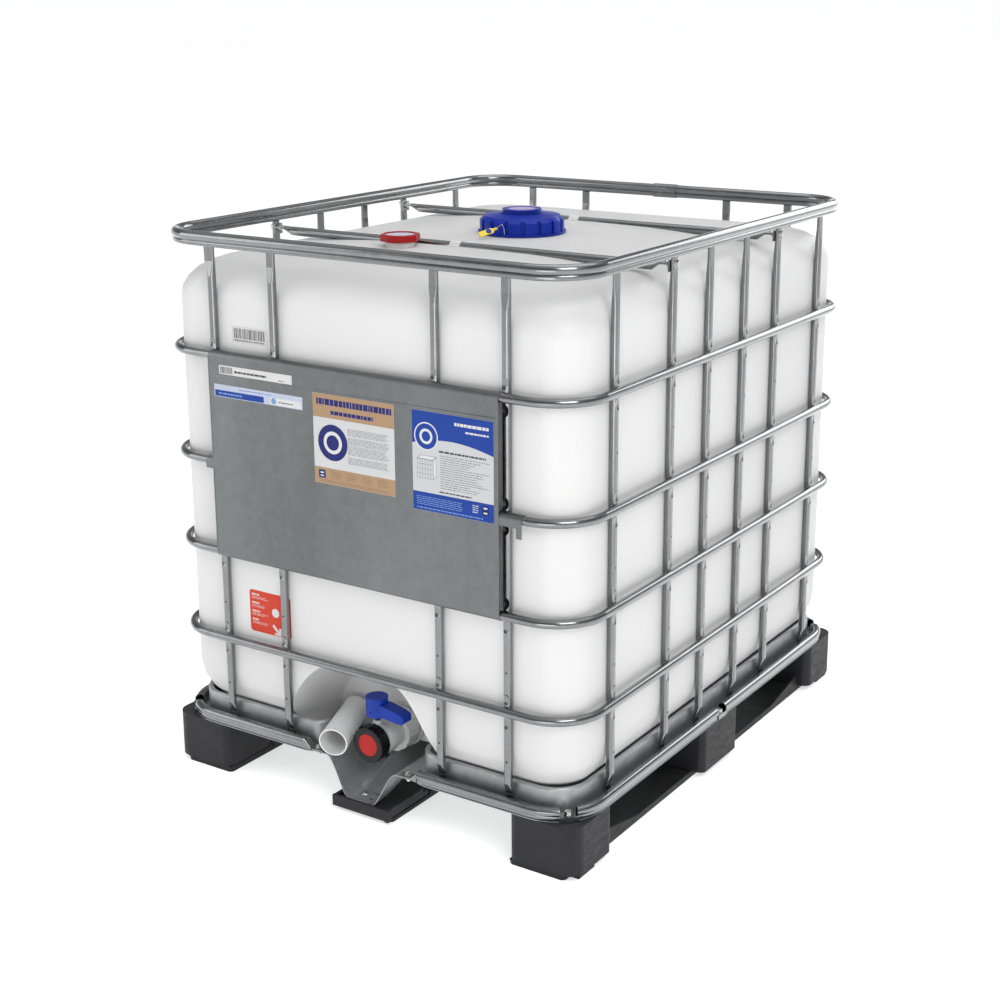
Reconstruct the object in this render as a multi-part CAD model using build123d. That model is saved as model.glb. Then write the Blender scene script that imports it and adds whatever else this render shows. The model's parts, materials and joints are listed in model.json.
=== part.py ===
from build123d import *
import math
import os

os.makedirs("parts", exist_ok=True)

# ---------------------------------------------------------------------------
# Intermediate bulk container: blow-moulded bottle in a tubular steel cage on a
# pressed sheet tray with plastic feet and runners.
# Millimetres. Origin at the bottom centre, +X to the right along the outlet
# side, outlet side towards -Y, +Z up.
# ---------------------------------------------------------------------------

# cage envelope
CAGE_HX = 500.0
CAGE_HY = 600.0
RING_R = 9.0
RING_WALL = 1.2
RING_CORNER = 98.0
RING_Z = (901.0, 683.3, 494.8, 306.0)
RING_HX = CAGE_HX - RING_R
RING_HY = CAGE_HY - RING_R

# top and bottom rims
RIM_HX = 489.8
RIM_HY = 589.8
RIM_CORNER = 96.0
RIM_Z = 1132.0
RIM_R = 10.0
RIM_LIP_Z = 1119.0
BASE_RIM_HX = 490.4
BASE_RIM_HY = 590.2
BASE_RIM_Z = 124.4
BASE_RIM_R = 9.5
RIM_WALL = 1.3

# uprights
UP_W = 16.0
UP_D = 14.0
UP_CX = 482.0
UP_CY = 582.0
UP_Z0 = 109.6
UP_Z1 = 1112.9
FRONT_UP_X = (-344.0, -190.0, 190.0, 344.0)
SIDE_UP_Y = (-443.5, -229.0, -78.8, 78.8, 229.0, 443.5)

# bottle
BOT_HX = 474.5
BOT_HY = 574.5
BOT_CORNER = 68.0
BOT_WALL = 2.4
BOT_Z0 = 112.0
BOT_LOW_R = 113.0
BOT_TOP_R = 75.0
BOT_SHOULDER_Z = 1005.0
NECK_R = 76.0
NECK_BORE = 70.0
NECK_Z = 1112.0
BUNG_X = -112.0
BUNG_Y = -278.0

# cross bars
BAR_Y = 229.0
BAR_Z = 1094.5
BAR_R = 9.5

# tray
SHEET = 1.5
TRAY_HX = 468.0
TRAY_HY = 568.0
TRAY_CORNER = 75.0
TRAY_Z = 108.0
TRAY_CREST = 156.0
TRAY_FLANGE = 29.0
CHUTE_BOLT_X = -19.5
CHUTE_BOLT_Y = -557.0
CHUTE_STATIONS = ((-593.2, 25.3), (-545.0, 30.0), (-475.0, 56.0), (-400.0, 92.0), (-352.0, 112.0))

# feet and runners
FOOT_HX = 497.6
FOOT_HY = 595.5
FOOT_X = 147.3
FOOT_Y = 139.0
FOOT_Z0 = 11.4
FOOT_Z1 = 107.9
RUN_X0 = 349.0
RUN_X1 = 472.0
RUN_T = 8.0

# outlet valve
VALVE_Z = 143.0
VALVE_Y = -535.0
VALVE_R = 31.0
VALVE_BORE = 25.0
CAP_R = 35.5
CAP_FRONT = -569.0
CAP_BACK = -542.5

# lid
LID_FLANGE_R = 93.0
LID_R = 84.5


def save(shape, name):
    export_step(shape, "parts/" + name + ".step")


def group(solids):
    """Separate solids kept in one node."""
    return Compound(children=list(solids))


def cyl(r, x, y, z0, z1):
    """Upright cylinder from z0 to z1."""
    return Pos(x, y, (z0 + z1) / 2) * Cylinder(r, z1 - z0)


def cyl_y(r, x, z, y0, y1):
    """Cylinder along Y from y0 to y1."""
    return Pos(x, (y0 + y1) / 2, z) * Rot(90, 0, 0) * Cylinder(r, abs(y1 - y0))


def cyl_x(r, y, z, x0, x1):
    """Cylinder along X from x0 to x1."""
    return Pos((x0 + x1) / 2, y, z) * Rot(0, 90, 0) * Cylinder(r, abs(x1 - x0))


def block(x0, x1, y0, y1, z0, z1):
    return Pos((x0 + x1) / 2, (y0 + y1) / 2, (z0 + z1) / 2) * Box(x1 - x0, y1 - y0, z1 - z0)


def hexagon(af, h):
    """Hexagonal prism standing on z = 0."""
    return extrude(RegularPolygon(af / math.sqrt(3), 6), h)


def hex_bolt(af, head, washer_r, shank_r, length):
    """Bolt with its head above z = 0 and its shank below."""
    body = Pos(0, 0, 1.5) * hexagon(af, head) + cyl(washer_r, 0, 0, 0, 1.5)
    body = body + cyl(shank_r, 0, 0, -length, 0)
    return body


def dome_bolt(head_r, head, shank_r, length):
    """Round-headed bolt, head above z = 0."""
    ball_r = (head_r * head_r + head * head) / (2 * head)
    dome = Pos(0, 0, head - ball_r) * Sphere(ball_r)
    dome = dome & cyl(head_r + 1, 0, 0, 0, head + 1)
    return dome + cyl(shank_r, 0, 0, -length, 0)


def loop(points, z, radii):
    """Plan path through the points with rounded corners."""
    return FilletPolyline(*[(x, y, z) for x, y in points], radius=radii)


def closed_points(hx, hy, gap):
    """Clockwise path that starts and ends at the middle of the rear."""
    return [(gap, hy), (hx, hy), (hx, -hy), (-hx, -hy), (-hx, hy), (-gap, hy)]


def swept(path, section, outward, travel):
    """Sweep a section drawn with local x outwards and local y up."""
    start = path @ 0
    plane = Plane(origin=start, x_dir=outward, z_dir=travel)
    return sweep(plane * section, path=path)


# ---------------------------------------------------------------------------
# cage rings: round tube bent to a rounded rectangle, butt-welded at the rear
# ---------------------------------------------------------------------------
ring_path = loop(closed_points(RING_HX, RING_HY, 0.2), 0.0, RING_CORNER)
ring_section = Circle(RING_R) - Circle(RING_R - RING_WALL)
ring = swept(ring_path, ring_section, (0, 1, 0), (1, 0, 0))
print("ring volume", round(ring.volume), "expected", round(ring_section.area * ring_path.length))
for i, z in enumerate(RING_Z):
    save(Pos(0, 0, z) * ring, "ring_" + str(i + 1))

# ---------------------------------------------------------------------------
# top rim: large tube with a smaller rolled lip below it
# ---------------------------------------------------------------------------
rim_path = loop(closed_points(RIM_HX - 5.0, RIM_HY - 2.6, 0.2), RIM_Z, RIM_CORNER)
lip_y = RIM_LIP_Z - RIM_Z
rim_outer = Circle(RIM_R) + Pos(-0.5, lip_y) * RectangleRounded(15.0, 12.0, 5.0)
rim_inner = Circle(RIM_R - RIM_WALL) + Pos(-0.5, lip_y) * RectangleRounded(12.4, 9.4, 3.7)
top_rim = swept(rim_path, rim_outer, (0, 1, 0), (1, 0, 0))
top_rim = top_rim - swept(rim_path, rim_inner, (0, 1, 0), (1, 0, 0))
save(top_rim, "top_rim")

# crimped sleeve over the rim's joint at the rear
sleeve_outer = Circle(RIM_R + 1.6) + Pos(-0.5, lip_y) * RectangleRounded(18.2, 15.2, 6.0)
sleeve = sleeve_outer - Circle(RIM_R + 0.02) - Pos(-0.5, lip_y) * RectangleRounded(15.04, 12.04, 5.02)
sleeve_plane = Plane(origin=(-2.0, RIM_HY - 2.6, RIM_Z), x_dir=(0, 1, 0), z_dir=(1, 0, 0))
rim_joint = extrude(sleeve_plane * sleeve, 60.0)
for x in (8.0, 29.0, 50.0):
    rim_joint = rim_joint - Pos(x, RIM_HY - 2.6, RIM_Z) * Rot(0, 90, 0) * Torus(RIM_R + 2.6, 1.6)
save(rim_joint, "rim_joint_sleeve")

# ---------------------------------------------------------------------------
# bottom rim: heavier double tube, open across the outlet chute
# ---------------------------------------------------------------------------
LEFT_END = -140.0
RIGHT_END = 140.0
base_points = [
    (LEFT_END, -BASE_RIM_HY),
    (-BASE_RIM_HX, -BASE_RIM_HY),
    (-BASE_RIM_HX, BASE_RIM_HY),
    (BASE_RIM_HX, BASE_RIM_HY),
    (BASE_RIM_HX, -BASE_RIM_HY),
    (RIGHT_END, -BASE_RIM_HY),
]
base_path = loop(base_points, BASE_RIM_Z, 99.0)
low_y = 115.8 - BASE_RIM_Z
base_outer = Circle(BASE_RIM_R) + Pos(-0.5, low_y) * RectangleRounded(17.0, 12.0, 5.0)
base_inner = Circle(BASE_RIM_R - RIM_WALL) + Pos(-0.5, low_y) * RectangleRounded(14.4, 9.4, 3.7)
base_rim = swept(base_path, base_outer, (0, -1, 0), (-1, 0, 0))
base_rim = base_rim - swept(base_path, base_inner, (0, -1, 0), (-1, 0, 0))

# flattened pads in the corners and at the middles, each with its bolt
corner_in = 99.0 * (1 - math.sqrt(0.5))
PAD_X = BASE_RIM_HX - corner_in
PAD_Y = BASE_RIM_HY - corner_in
PADS = [
    (PAD_X, -PAD_Y, 45.0),
    (-PAD_X, -PAD_Y, -45.0),
    (PAD_X, PAD_Y, -45.0),
    (-PAD_X, PAD_Y, 45.0),
    (BASE_RIM_HX, 0.0, 90.0),
    (-BASE_RIM_HX, 0.0, 90.0),
    (0.0, BASE_RIM_HY, 0.0),
]
PAD_TOP = 120.0
for x, y, turn in PADS:
    base_rim = base_rim - Pos(x, y, 120.0) * Rot(0, 0, turn) * Box(34.0, 60.0, 60.0)
for x, y, turn in PADS:
    pad = Pos(x, y, 0) * Rot(0, 0, turn) * block(-18.5, 18.5, -10.2, 10.2, 110.3, PAD_TOP)
    base_rim = base_rim + pad
for x, y, turn in PADS:
    base_rim = base_rim - cyl(4.2, x, y, 100.0, 130.0)

# flattened ends bolted beside the chute
END_Z0 = 112.1
END_Z1 = 115.6
END_BOLTS = ((-113.0, -583.0), (111.0, -583.0))
for sign in (-1, 1):
    tube_face = Plane(
        origin=(sign * 141.5, -BASE_RIM_HY, 0), x_dir=(0, -1, 0), z_dir=(-1, 0, 0))
    flat_face = Plane(
        origin=(sign * 124.0, -BASE_RIM_HY + 4.0, 0), x_dir=(0, -1, 0), z_dir=(-1, 0, 0))
    a = tube_face * (Pos(-0.1, 121.9) * RectangleRounded(20.0, 24.8, 7.0))
    b = flat_face * (Pos(-0.5, (END_Z0 + END_Z1) / 2) * RectangleRounded(23.0, 3.3, 1.2))
    base_rim = base_rim + loft([a, b])
    tongue = block(
        min(sign * 96.0, sign * 126.0), max(sign * 96.0, sign * 126.0), -596.5, -573.5,
        END_Z0, END_Z1)
    tongue = fillet(tongue.edges().filter_by(Axis.Z), 6.0)
    base_rim = base_rim + tongue
for x, y in END_BOLTS:
    base_rim = base_rim - cyl(4.2, x, y, 100.0, 130.0)
save(base_rim, "bottom_rim")

# ---------------------------------------------------------------------------
# uprights: one tube, dented round every ring, flattened at both ends
# ---------------------------------------------------------------------------
FLAT0 = 138.0
FLAT1 = 1074.0


def upright_envelope(skin):
    """Tube body in its own frame: local x along the side, local y outwards."""
    w = UP_W - 2 * skin
    d = UP_D - 2 * skin
    corner = 5.5 - skin * 0.8
    body = Pos(0, 0, 160.0) * extrude(RectangleRounded(w, d, corner), 1055.0 - 160.0)
    low = loft([
        Pos(0, -4.7, FLAT0) * RectangleRounded(18.0 - 2 * skin, 4.4 - 1.2 * skin, 1.2),
        Pos(0, 0, 160.0) * RectangleRounded(w, d, corner),
    ])
    high = loft([
        Pos(0, 0, 1055.0) * RectangleRounded(w, d, corner),
        Pos(0, 1.0, 1085.0) * RectangleRounded(19.0 - 2 * skin, 7.0 - 1.4 * skin, 2.0),
    ])
    return body + low + high


def upright_dents(skin):
    """Seats for the rings and the pressed hollows beside them."""
    tools = []
    for z in RING_Z:
        tools.append(Pos(0, 9.0, z) * Rot(0, 90, 0) * Cylinder(RING_R + 0.02 + skin, 30.0))
        for dz in (-24.0, 24.0):
            tools.append(Pos(0, 24.5, z + dz) * Sphere(20.5 + skin))
    return tools


outer = upright_envelope(0.0)
for tool in upright_dents(0.0):
    outer = outer - tool
inner = upright_envelope(1.1)
for tool in upright_dents(1.2):
    inner = inner - tool
upright = outer - inner
upright = upright + Pos(0, -4.7, UP_Z0) * extrude(RectangleRounded(18.0, 4.4, 1.6), FLAT0 - UP_Z0 + 0.5)
upright = upright + Pos(0, 1.0, 1084.5) * extrude(RectangleRounded(19.0, 7.0, 2.6), UP_Z1 - 1084.5)
upright = upright - Pos(0, 7.0, 205.0) * Rot(90, 0, 0) * Cylinder(2.0, 10.0)
for z in RING_Z[:-1]:
    upright = upright - Pos(0, 7.0, z - 112.0) * Rot(90, 0, 0) * Cylinder(1.8, 10.0)
print("upright valid", upright.is_valid, "solids", len(upright.solids()))


def placed_upright(x, y, turn, drilled):
    body = Pos(x, y, 0) * Rot(0, 0, turn) * upright
    if drilled:
        body = body - cyl_x(4.2, y, 1100.0, x - 15.0, x + 15.0)
    return body


save(group([placed_upright(x, -UP_CY, 180, False) for x in FRONT_UP_X]), "front_uprights")
save(group([placed_upright(x, UP_CY, 0, False) for x in FRONT_UP_X]), "rear_uprights")
save(group([placed_upright(UP_CX, y, -90, abs(y) == BAR_Y) for y in SIDE_UP_Y]), "right_uprights")
save(group([placed_upright(-UP_CX, y, 90, abs(y) == BAR_Y) for y in SIDE_UP_Y]), "left_uprights")

# ---------------------------------------------------------------------------
# cross bars: tubes over the bottle, flattened and turned down at both ends
# ---------------------------------------------------------------------------
UP_FACE = UP_CX - 2.5


def cross_bar(y):
    tube = cyl_x(BAR_R, y, BAR_Z, -436.0, 436.0) - cyl_x(BAR_R - 1.2, y, BAR_Z, -437.0, 437.0)
    for sign in (-1, 1):
        round_end = Plane(origin=(sign * 436.0, y, BAR_Z), x_dir=(0, 1, 0), z_dir=(sign, 0, 0))
        flat_end = Plane(origin=(sign * 456.0, y, 1101.0), x_dir=(0, 1, 0), z_dir=(sign, 0, 0))
        tube = tube + loft([round_end * Circle(BAR_R), flat_end * Ellipse(13.0, 2.6)])
        plate = block(
            min(sign * 455.0, sign * UP_FACE), max(sign * 455.0, sign * UP_FACE),
            y - 12.0, y + 12.0, 1099.0, 1103.0)
        relief = block(
            min(sign * (UP_FACE - 12.0), sign * (UP_FACE - 4.0)), max(sign * (UP_FACE - 12.0), sign * (UP_FACE - 4.0)),
            y - 8.2, y + 8.2, 1095.0, 1106.0)
        tube = tube + (plate - relief)
        tab = block(
            min(sign * (UP_FACE - 4.0), sign * UP_FACE), max(sign * (UP_FACE - 4.0), sign * UP_FACE),
            y - 12.0, y + 12.0, 1086.0, 1108.0)
        tab = tab - cyl_x(4.2, y, 1100.0, sign * (UP_FACE - 10.0), sign * (UP_FACE + 5.0))
        tube = tube - cyl_x(4.2, y, 1100.0, sign * (UP_FACE - 16.0), sign * (UP_FACE + 5.0))
        tube = tube + tab
    return tube


save(cross_bar(-BAR_Y), "cross_bar_front")
save(cross_bar(BAR_Y), "cross_bar_rear")

bolts = []
for sign in (-1, 1):
    for y in (-BAR_Y, BAR_Y):
        face = UP_CX + 4.5
        turn = 90 if sign > 0 else -90
        bolt = hex_bolt(13.0, 5.0, 8.0, 4.0, 19.0)
        nut = Pos(0, 0, -17.0) * (hexagon(13.0, 5.6) - cyl(4.0, 0, 0, -1.0, 7.0))
        bolts.append(Pos(sign * face, y, 1100.0) * Rot(0, turn, 0) * bolt)
        bolts.append(Pos(sign * face, y, 1100.0) * Rot(0, turn, 0) * nut)
save(group(bolts), "cross_bar_bolts")

# ---------------------------------------------------------------------------
# rim bolts: through the flattened rim and the tray flange into the feet
# ---------------------------------------------------------------------------
rim_bolts = []
for x, y, turn in PADS:
    rim_bolts.append(Pos(x, y, PAD_TOP) * Rot(0, 0, turn) * hex_bolt(13.0, 5.3, 8.5, 4.0, 45.0))
for x, y in END_BOLTS:
    rim_bolts.append(Pos(x, y, END_Z1) * hex_bolt(10.0, 4.4, 7.5, 4.0, 13.0))
save(group(rim_bolts), "rim_bolts")

# ---------------------------------------------------------------------------
# bottle
# ---------------------------------------------------------------------------


def bottle_sections(off):
    """Rounded rectangles from the base to the crown, drawn in by off."""
    rows = []
    for deg in (90, 75, 60, 45, 30, 15, 0):
        a = math.radians(deg)
        inset = BOT_LOW_R * (1 - math.cos(a))
        z = BOT_Z0 + BOT_LOW_R * (1 - math.sin(a))
        rows.append((inset + off * math.cos(a), z + off * math.sin(a), BOT_CORNER + 0.25 * inset))
    for z in (330.0, 450.0, 620.0, 800.0, 920.0):
        rows.append((off, z, BOT_CORNER))
    for deg in (0, 15, 30, 45, 60, 75, 87):
        a = math.radians(deg)
        inset = BOT_TOP_R * (1 - math.cos(a))
        z = BOT_SHOULDER_Z + BOT_TOP_R * math.sin(a)
        rows.append((inset + off * math.cos(a), z - off * math.sin(a), BOT_CORNER + 0.3 * inset))
    for inset, z in ((135.0, 1084.0), (200.0, 1089.0), (280.0, 1094.0), (350.0, 1096.5)):
        rows.append((inset, z - off, BOT_CORNER + 0.15 * inset))
    return rows


def bottle_body(off):
    faces = []
    for inset, z, corner in bottle_sections(off):
        w = 2 * (BOT_HX - inset)
        d = 2 * (BOT_HY - inset)
        faces.append(Pos(0, 0, z) * RectangleRounded(w, d, min(corner - 0.3 * off, w / 2 - 8)))
    return loft(faces, ruled=True)


RECESS = (
    (-200.0, 95.0), (-198.0, 165.0), (-168.0, 226.0), (-116.0, 281.0), (-56.0, 307.0), (20.0, 306.0),
    (88.0, 280.0), (132.0, 226.0), (161.0, 164.0), (166.0, 95.0))


def recess(off):
    """Pocket for the outlet in the front wall, smaller and lower towards its back."""
    faces = []
    for y, k in ((-600.0 - off, 1.02), (-560.0, 1.0), (-500.0, 0.95), (-438.0 + off, 0.84)):
        pts = []
        for x, z in RECESS:
            cx = -17.0 + (x + 17.0) * k
            cz = 112.0 + (z - 112.0) * k
            dx = cx + 17.0
            dz = max(cz - 150.0, 0.0)
            n = math.hypot(dx, dz) or 1.0
            pts.append((cx + off * dx / n, y, cz + off * dz / n))
        curve = Spline(*pts)
        faces.append(make_face([*curve.edges(), *Line(pts[-1], pts[0]).edges()]))
    return loft(faces)


def top_grooves(off):
    """Channels across the crown for the bars."""
    tools = []
    r = BAR_R + 0.6 + off
    arc = [(r * math.cos(math.radians(a)), BAR_Z + r * math.sin(math.radians(a))) for a in range(180, 361, 15)]
    for y in (-BAR_Y, BAR_Y):
        pts = [(-500.0, y - r, 1130.0)] + [(-500.0, y + u, z) for u, z in arc] + [(-500.0, y + r, 1130.0)]
        tools.append(extrude(make_face(Polyline(*pts, close=True)), amount=1000.0, dir=(1, 0, 0)))
    return tools


shell_out = bottle_body(0.0)
shell_in = bottle_body(BOT_WALL)
print("bottle bodies", shell_out.is_valid, shell_in.is_valid, round(shell_in.volume / 1e6), "litres")
shell_out = shell_out - recess(0.0)
shell_in = shell_in - recess(BOT_WALL)
for tool in top_grooves(0.0):
    shell_out = shell_out - tool
for tool in top_grooves(BOT_WALL):
    shell_in = shell_in - tool

shell_out = shell_out + cyl(NECK_R, 0, 0, 1088.0, NECK_Z)
shell_out = shell_out + cyl(30.0, BUNG_X, BUNG_Y, 1080.0, 1103.0)
shell_out = shell_out + cyl_y(46.0, 0, VALVE_Z, -446.0, -436.5)
shell_out = shell_out + cyl_y(30.5, 0, VALVE_Z, -470.0, -430.0)
for y in (-BAR_Y, BAR_Y):
    strap = cyl_x(BAR_R + 3.2, y, BAR_Z, -18.0, 6.0) + block(-18.0, 6.0, y - 19.0, y + 19.0, 1088.0, 1098.5)
    strap = strap - cyl_x(BAR_R + 0.15, y, BAR_Z, -20.0, 8.0)
    strap = strap & block(-20.0, 8.0, y - 30.0, y + 30.0, 1088.5, 1112.0)
    shell_out = shell_out + strap
bottle = shell_out - shell_in
bottle = bottle - cyl(NECK_BORE, 0, 0, 1080.0, NECK_Z + 1)
bottle = bottle - cyl(24.0, BUNG_X, BUNG_Y, 1070.0, 1104.0)
bottle = bottle - cyl_y(VALVE_BORE, 0, VALVE_Z, -480.0, -425.0)
print("bottle valid", bottle.is_valid, "solids", len(bottle.solids()))
bottle = max(bottle.solids(), key=lambda s: s.volume)
save(bottle, "bottle")

# ---------------------------------------------------------------------------
# tray: pressed sheet with a rolled crest, a flange and an outlet chute
# ---------------------------------------------------------------------------
tray_points = [
    (-118.0, -540.0), (-118.0, -TRAY_HY), (-TRAY_HX, -TRAY_HY), (-TRAY_HX, TRAY_HY),
    (TRAY_HX, TRAY_HY), (TRAY_HX, -TRAY_HY), (118.0, -TRAY_HY), (118.0, -470.0),
]
tray_path = loop(tray_points, TRAY_Z, [26.0, TRAY_CORNER, TRAY_CORNER, TRAY_CORNER, TRAY_CORNER, 46.0])
crest = TRAY_CREST - TRAY_Z
tray_section = Pos((TRAY_FLANGE - 11.5) / 2, SHEET / 2) * Rectangle(TRAY_FLANGE + 11.5, SHEET)
tray_section = tray_section + Pos(-SHEET / 2, crest / 2) * Rectangle(SHEET, crest)
tray_section = tray_section + Pos(-11.5 + SHEET / 2, crest / 2) * Rectangle(SHEET, crest)
roll = Pos(-5.75, crest) * Circle(5.75) - Pos(-5.75, crest) * Circle(4.25)
roll = roll - Pos(-5.75, crest - 10.0) * Rectangle(20.0, 20.0)
tray_section = tray_section + roll
tray = swept(tray_path, tray_section, (1, 0, 0), (0, -1, 0))
pan = Pos(0, 0, 110.5) * extrude(
    RectangleRounded(2 * TRAY_HX - 22.0, 2 * TRAY_HY - 22.0, TRAY_CORNER - 11.0), SHEET)
pan = pan - block(-118.0, 118.0, -600.0, -352.0, 100.0, 120.0)
tray = tray + pan


def chute_height(x, floor):
    """Chute surface: flat floor, smooth flanks, flat shoulders at the flange."""
    inner, outer = (18.0, 88.0) if x > 0 else (28.0, 86.0)
    t = min(max((abs(x) - inner) / (outer - inner), 0.0), 1.0)
    s = t * t * (3 - 2 * t)
    return floor + (112.0 - floor) * s


def chute_strip(y, floor):
    xs = [-122.0 + 244.0 * i / 44 for i in range(45)]
    top = []
    low = []
    for x in xs:
        z = chute_height(x, floor)
        slope = (chute_height(x + 0.5, floor) - chute_height(x - 0.5, floor))
        n = math.hypot(1.0, slope)
        top.append((x, y, z))
        low.append((x + SHEET * slope / n, y, z - SHEET / n))
    low[0] = (-122.0, y, 110.5)
    low[-1] = (122.0, y, 110.5)
    return make_face(Polyline(*top, *reversed(low), close=True))


chute = loft([chute_strip(y, floor) for y, floor in CHUTE_STATIONS], ruled=True)
tray = tray + chute
tray = tray - cyl(4.4, CHUTE_BOLT_X, CHUTE_BOLT_Y, 10.0, 60.0)
for x, y, long in ((6.0, -549.0, 12.0), (6.0, -569.0, 11.0), (14.0, -584.0, 6.0)):
    tray = tray - Pos(x, y, 30.0) * extrude(SlotOverall(long, 4.0), 12.0, both=True)
for x, y, turn in PADS:
    tray = tray - cyl(4.2, x, y, 100.0, 120.0)
for x, y in END_BOLTS:
    tray = tray - cyl(4.2, x, y, 100.0, 120.0)
print("tray valid", tray.is_valid, "solids", len(tray.solids()))
save(tray, "tray")

(front_y, front_z), (bend_y, bend_z) = CHUTE_STATIONS[:2]
chute_rise = (bend_z - front_z) / (bend_y - front_y)
chute_z = bend_z + (CHUTE_BOLT_Y - bend_y) * chute_rise
chute_tilt = math.degrees(math.atan(chute_rise))
save(Pos(CHUTE_BOLT_X, CHUTE_BOLT_Y, chute_z + 0.06) * Rot(chute_tilt, 0, 0)
     * dome_bolt(8.0, 3.6, 4.0, 11.5), "chute_bolt")

# ---------------------------------------------------------------------------
# pallet feet: hollow moulded boxes, open below, with stiffening webs
# ---------------------------------------------------------------------------


def foot(x0, x1, y0, y1, z0, z1, corner, small, wall=4.5):
    """Hollow box with rounded uprights and inner webs."""
    w = x1 - x0
    d = y1 - y0
    cx = (x0 + x1) / 2
    cy = (y0 + y1) / 2
    body = Pos(cx, cy, z0) * extrude(RectangleRounded(w, d, small), z1 - z0)
    if corner:
        body = body & Pos(0, 0, z0 - 1) * extrude(corner, z1 - z0 + 2)
    hollow = Pos(cx, cy, z0 - 1) * extrude(RectangleRounded(w - 2 * wall, d - 2 * wall, 6.0), z1 - z0 - 4.0)
    if corner:
        hollow = hollow & Pos(0, 0, z0 - 2) * extrude(offset(corner, -wall), z1 - z0)
    web = block(x0, x1, cy - 1.5, cy + 1.5, z0, z1) + block(cx - 1.5, cx + 1.5, y0, y1, z0, z1)
    return body - (hollow - web)


plan = RectangleRounded(2 * FOOT_HX, 2 * FOOT_HY, 32.0)
feet = {}
for name, sx, sy in (
        ("front_left", -1, -1), ("front_right", 1, -1), ("rear_left", -1, 1), ("rear_right", 1, 1)):
    x0 = min(sx * FOOT_HX, sx * (FOOT_HX - FOOT_X))
    y0 = min(sy * FOOT_HY, sy * (FOOT_HY - FOOT_Y))
    feet[name + "_foot"] = foot(
        x0, x0 + FOOT_X, y0, y0 + FOOT_Y, FOOT_Z0, FOOT_Z1, plan, 18.0)
feet["left_foot"] = foot(-FOOT_HX, -350.0, -80.0, 80.0, FOOT_Z0, FOOT_Z1, None, 14.0)
feet["right_foot"] = foot(350.0, FOOT_HX, -80.0, 80.0, FOOT_Z0, FOOT_Z1, None, 14.0)
feet["middle_foot"] = foot(-69.0, 69.0, -80.0, 80.0, FOOT_Z0, 110.4, None, 14.0)
feet["rear_foot"] = foot(-69.0, 69.0, 456.5, FOOT_HY, FOOT_Z0, FOOT_Z1, None, 14.0)
for name in feet:
    solid = feet[name]
    for x, y, turn in PADS:
        solid = solid - cyl(4.05, x, y, 74.0, 112.0)
    feet[name] = solid
    save(solid, name)

# front centre foot: low shelf under the chute with a standing lip, stepped up behind it
front = block(-69.0, 69.0, -594.0, -458.0, FOOT_Z0, 22.0)
front = fillet(front.edges().filter_by(Axis.Z), 8.0)
front = front + block(-69.0, 69.0, -600.0, -594.0, 8.0, 31.0)
front = front + block(62.0, 71.0, -600.0, -588.0, 6.0, 30.0)
front = front + block(-69.0, -62.0, -596.0, -480.0, 20.0, 30.0) + block(62.0, 69.0, -596.0, -480.0, 20.0, 30.0)
front = front - block(-60.0, 60.0, -586.0, -466.0, FOOT_Z0 - 1, 17.5)
front = front + block(-60.0, 60.0, -530.0, -526.0, FOOT_Z0, 18.0)
front = front - cyl(5.6, CHUTE_BOLT_X, CHUTE_BOLT_Y + 0.6, 0.0, 40.0)
save(front, "front_foot")

# ---------------------------------------------------------------------------
# runners: skids along both sides and the middle
# ---------------------------------------------------------------------------


def gusset(sign, y_foot, direction):
    """Side web that tapers from a foot towards the middle of the bay."""
    pts = [(y_foot, RUN_T - 1), (y_foot, 38.0), (y_foot + direction * 20.0, 36.0),
           (y_foot + direction * 150.0, 12.0), (y_foot + direction * 178.0, RUN_T - 1)]
    face = make_face(Polyline(*[(sign * RUN_X1, y, z) for y, z in pts], close=True))
    return extrude(face, amount=6.0, dir=(-sign, 0, 0))


def side_runner(sign):
    lo = min(sign * RUN_X0, sign * RUN_X1)
    hi = max(sign * RUN_X0, sign * RUN_X1)
    body = block(lo, hi, -592.0, 592.0, 0.0, RUN_T)
    body = fillet(body.edges().filter_by(Axis.Z), 10.0)
    for y0, y1 in ((-592.0, -460.0), (-78.0, 78.0), (460.0, 592.0)):
        body = body + block(lo + 3.0, hi, y0, y1, RUN_T - 0.5, FOOT_Z0)
    for y in (-545.0, 545.0):
        pad = block(
            min(sign * 437.0, sign * 494.0), max(sign * 437.0, sign * 494.0), y - 26.0, y + 26.0, 0.0, FOOT_Z0)
        pad = chamfer(pad.edges().filter_by(Axis.Y), 3.0)
        body = body + pad
    body = body + gusset(sign, -456.4, 1) + gusset(sign, 456.4, -1)
    edge_lo = min(sign * (RUN_X1 - 3.0), sign * RUN_X1)
    body = body + block(edge_lo, edge_lo + 3.0, -456.0, -80.2, RUN_T - 1, 13.0)
    body = body + block(edge_lo, edge_lo + 3.0, 80.2, 456.0, RUN_T - 1, 13.0)
    in_lo = min(sign * RUN_X0, sign * (RUN_X0 + 3.0))
    body = body + block(in_lo, in_lo + 3.0, -456.0, -80.2, RUN_T - 1, 13.0)
    body = body + block(in_lo, in_lo + 3.0, 80.2, 456.0, RUN_T - 1, 13.0)
    return body


save(side_runner(-1), "left_runner")
save(side_runner(1), "right_runner")
centre = block(-69.0, 69.0, -586.0, 592.0, 0.0, RUN_T)
centre = fillet(centre.edges().filter_by(Axis.Z), 10.0)
for y0, y1 in ((-584.0, -460.0), (-78.0, 78.0), (460.0, 592.0)):
    centre = centre + block(-66.0, 66.0, y0, y1, RUN_T - 0.5, FOOT_Z0)
for x in (-69.0, 66.0):
    centre = centre + block(x, x + 3.0, -457.0, -80.2, RUN_T - 1, 13.0)
    centre = centre + block(x, x + 3.0, 80.2, 456.0, RUN_T - 1, 13.0)
centre = centre - cyl(5.6, CHUTE_BOLT_X, CHUTE_BOLT_Y + 0.6, 1.0, 40.0)
save(centre, "centre_runner")

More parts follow.
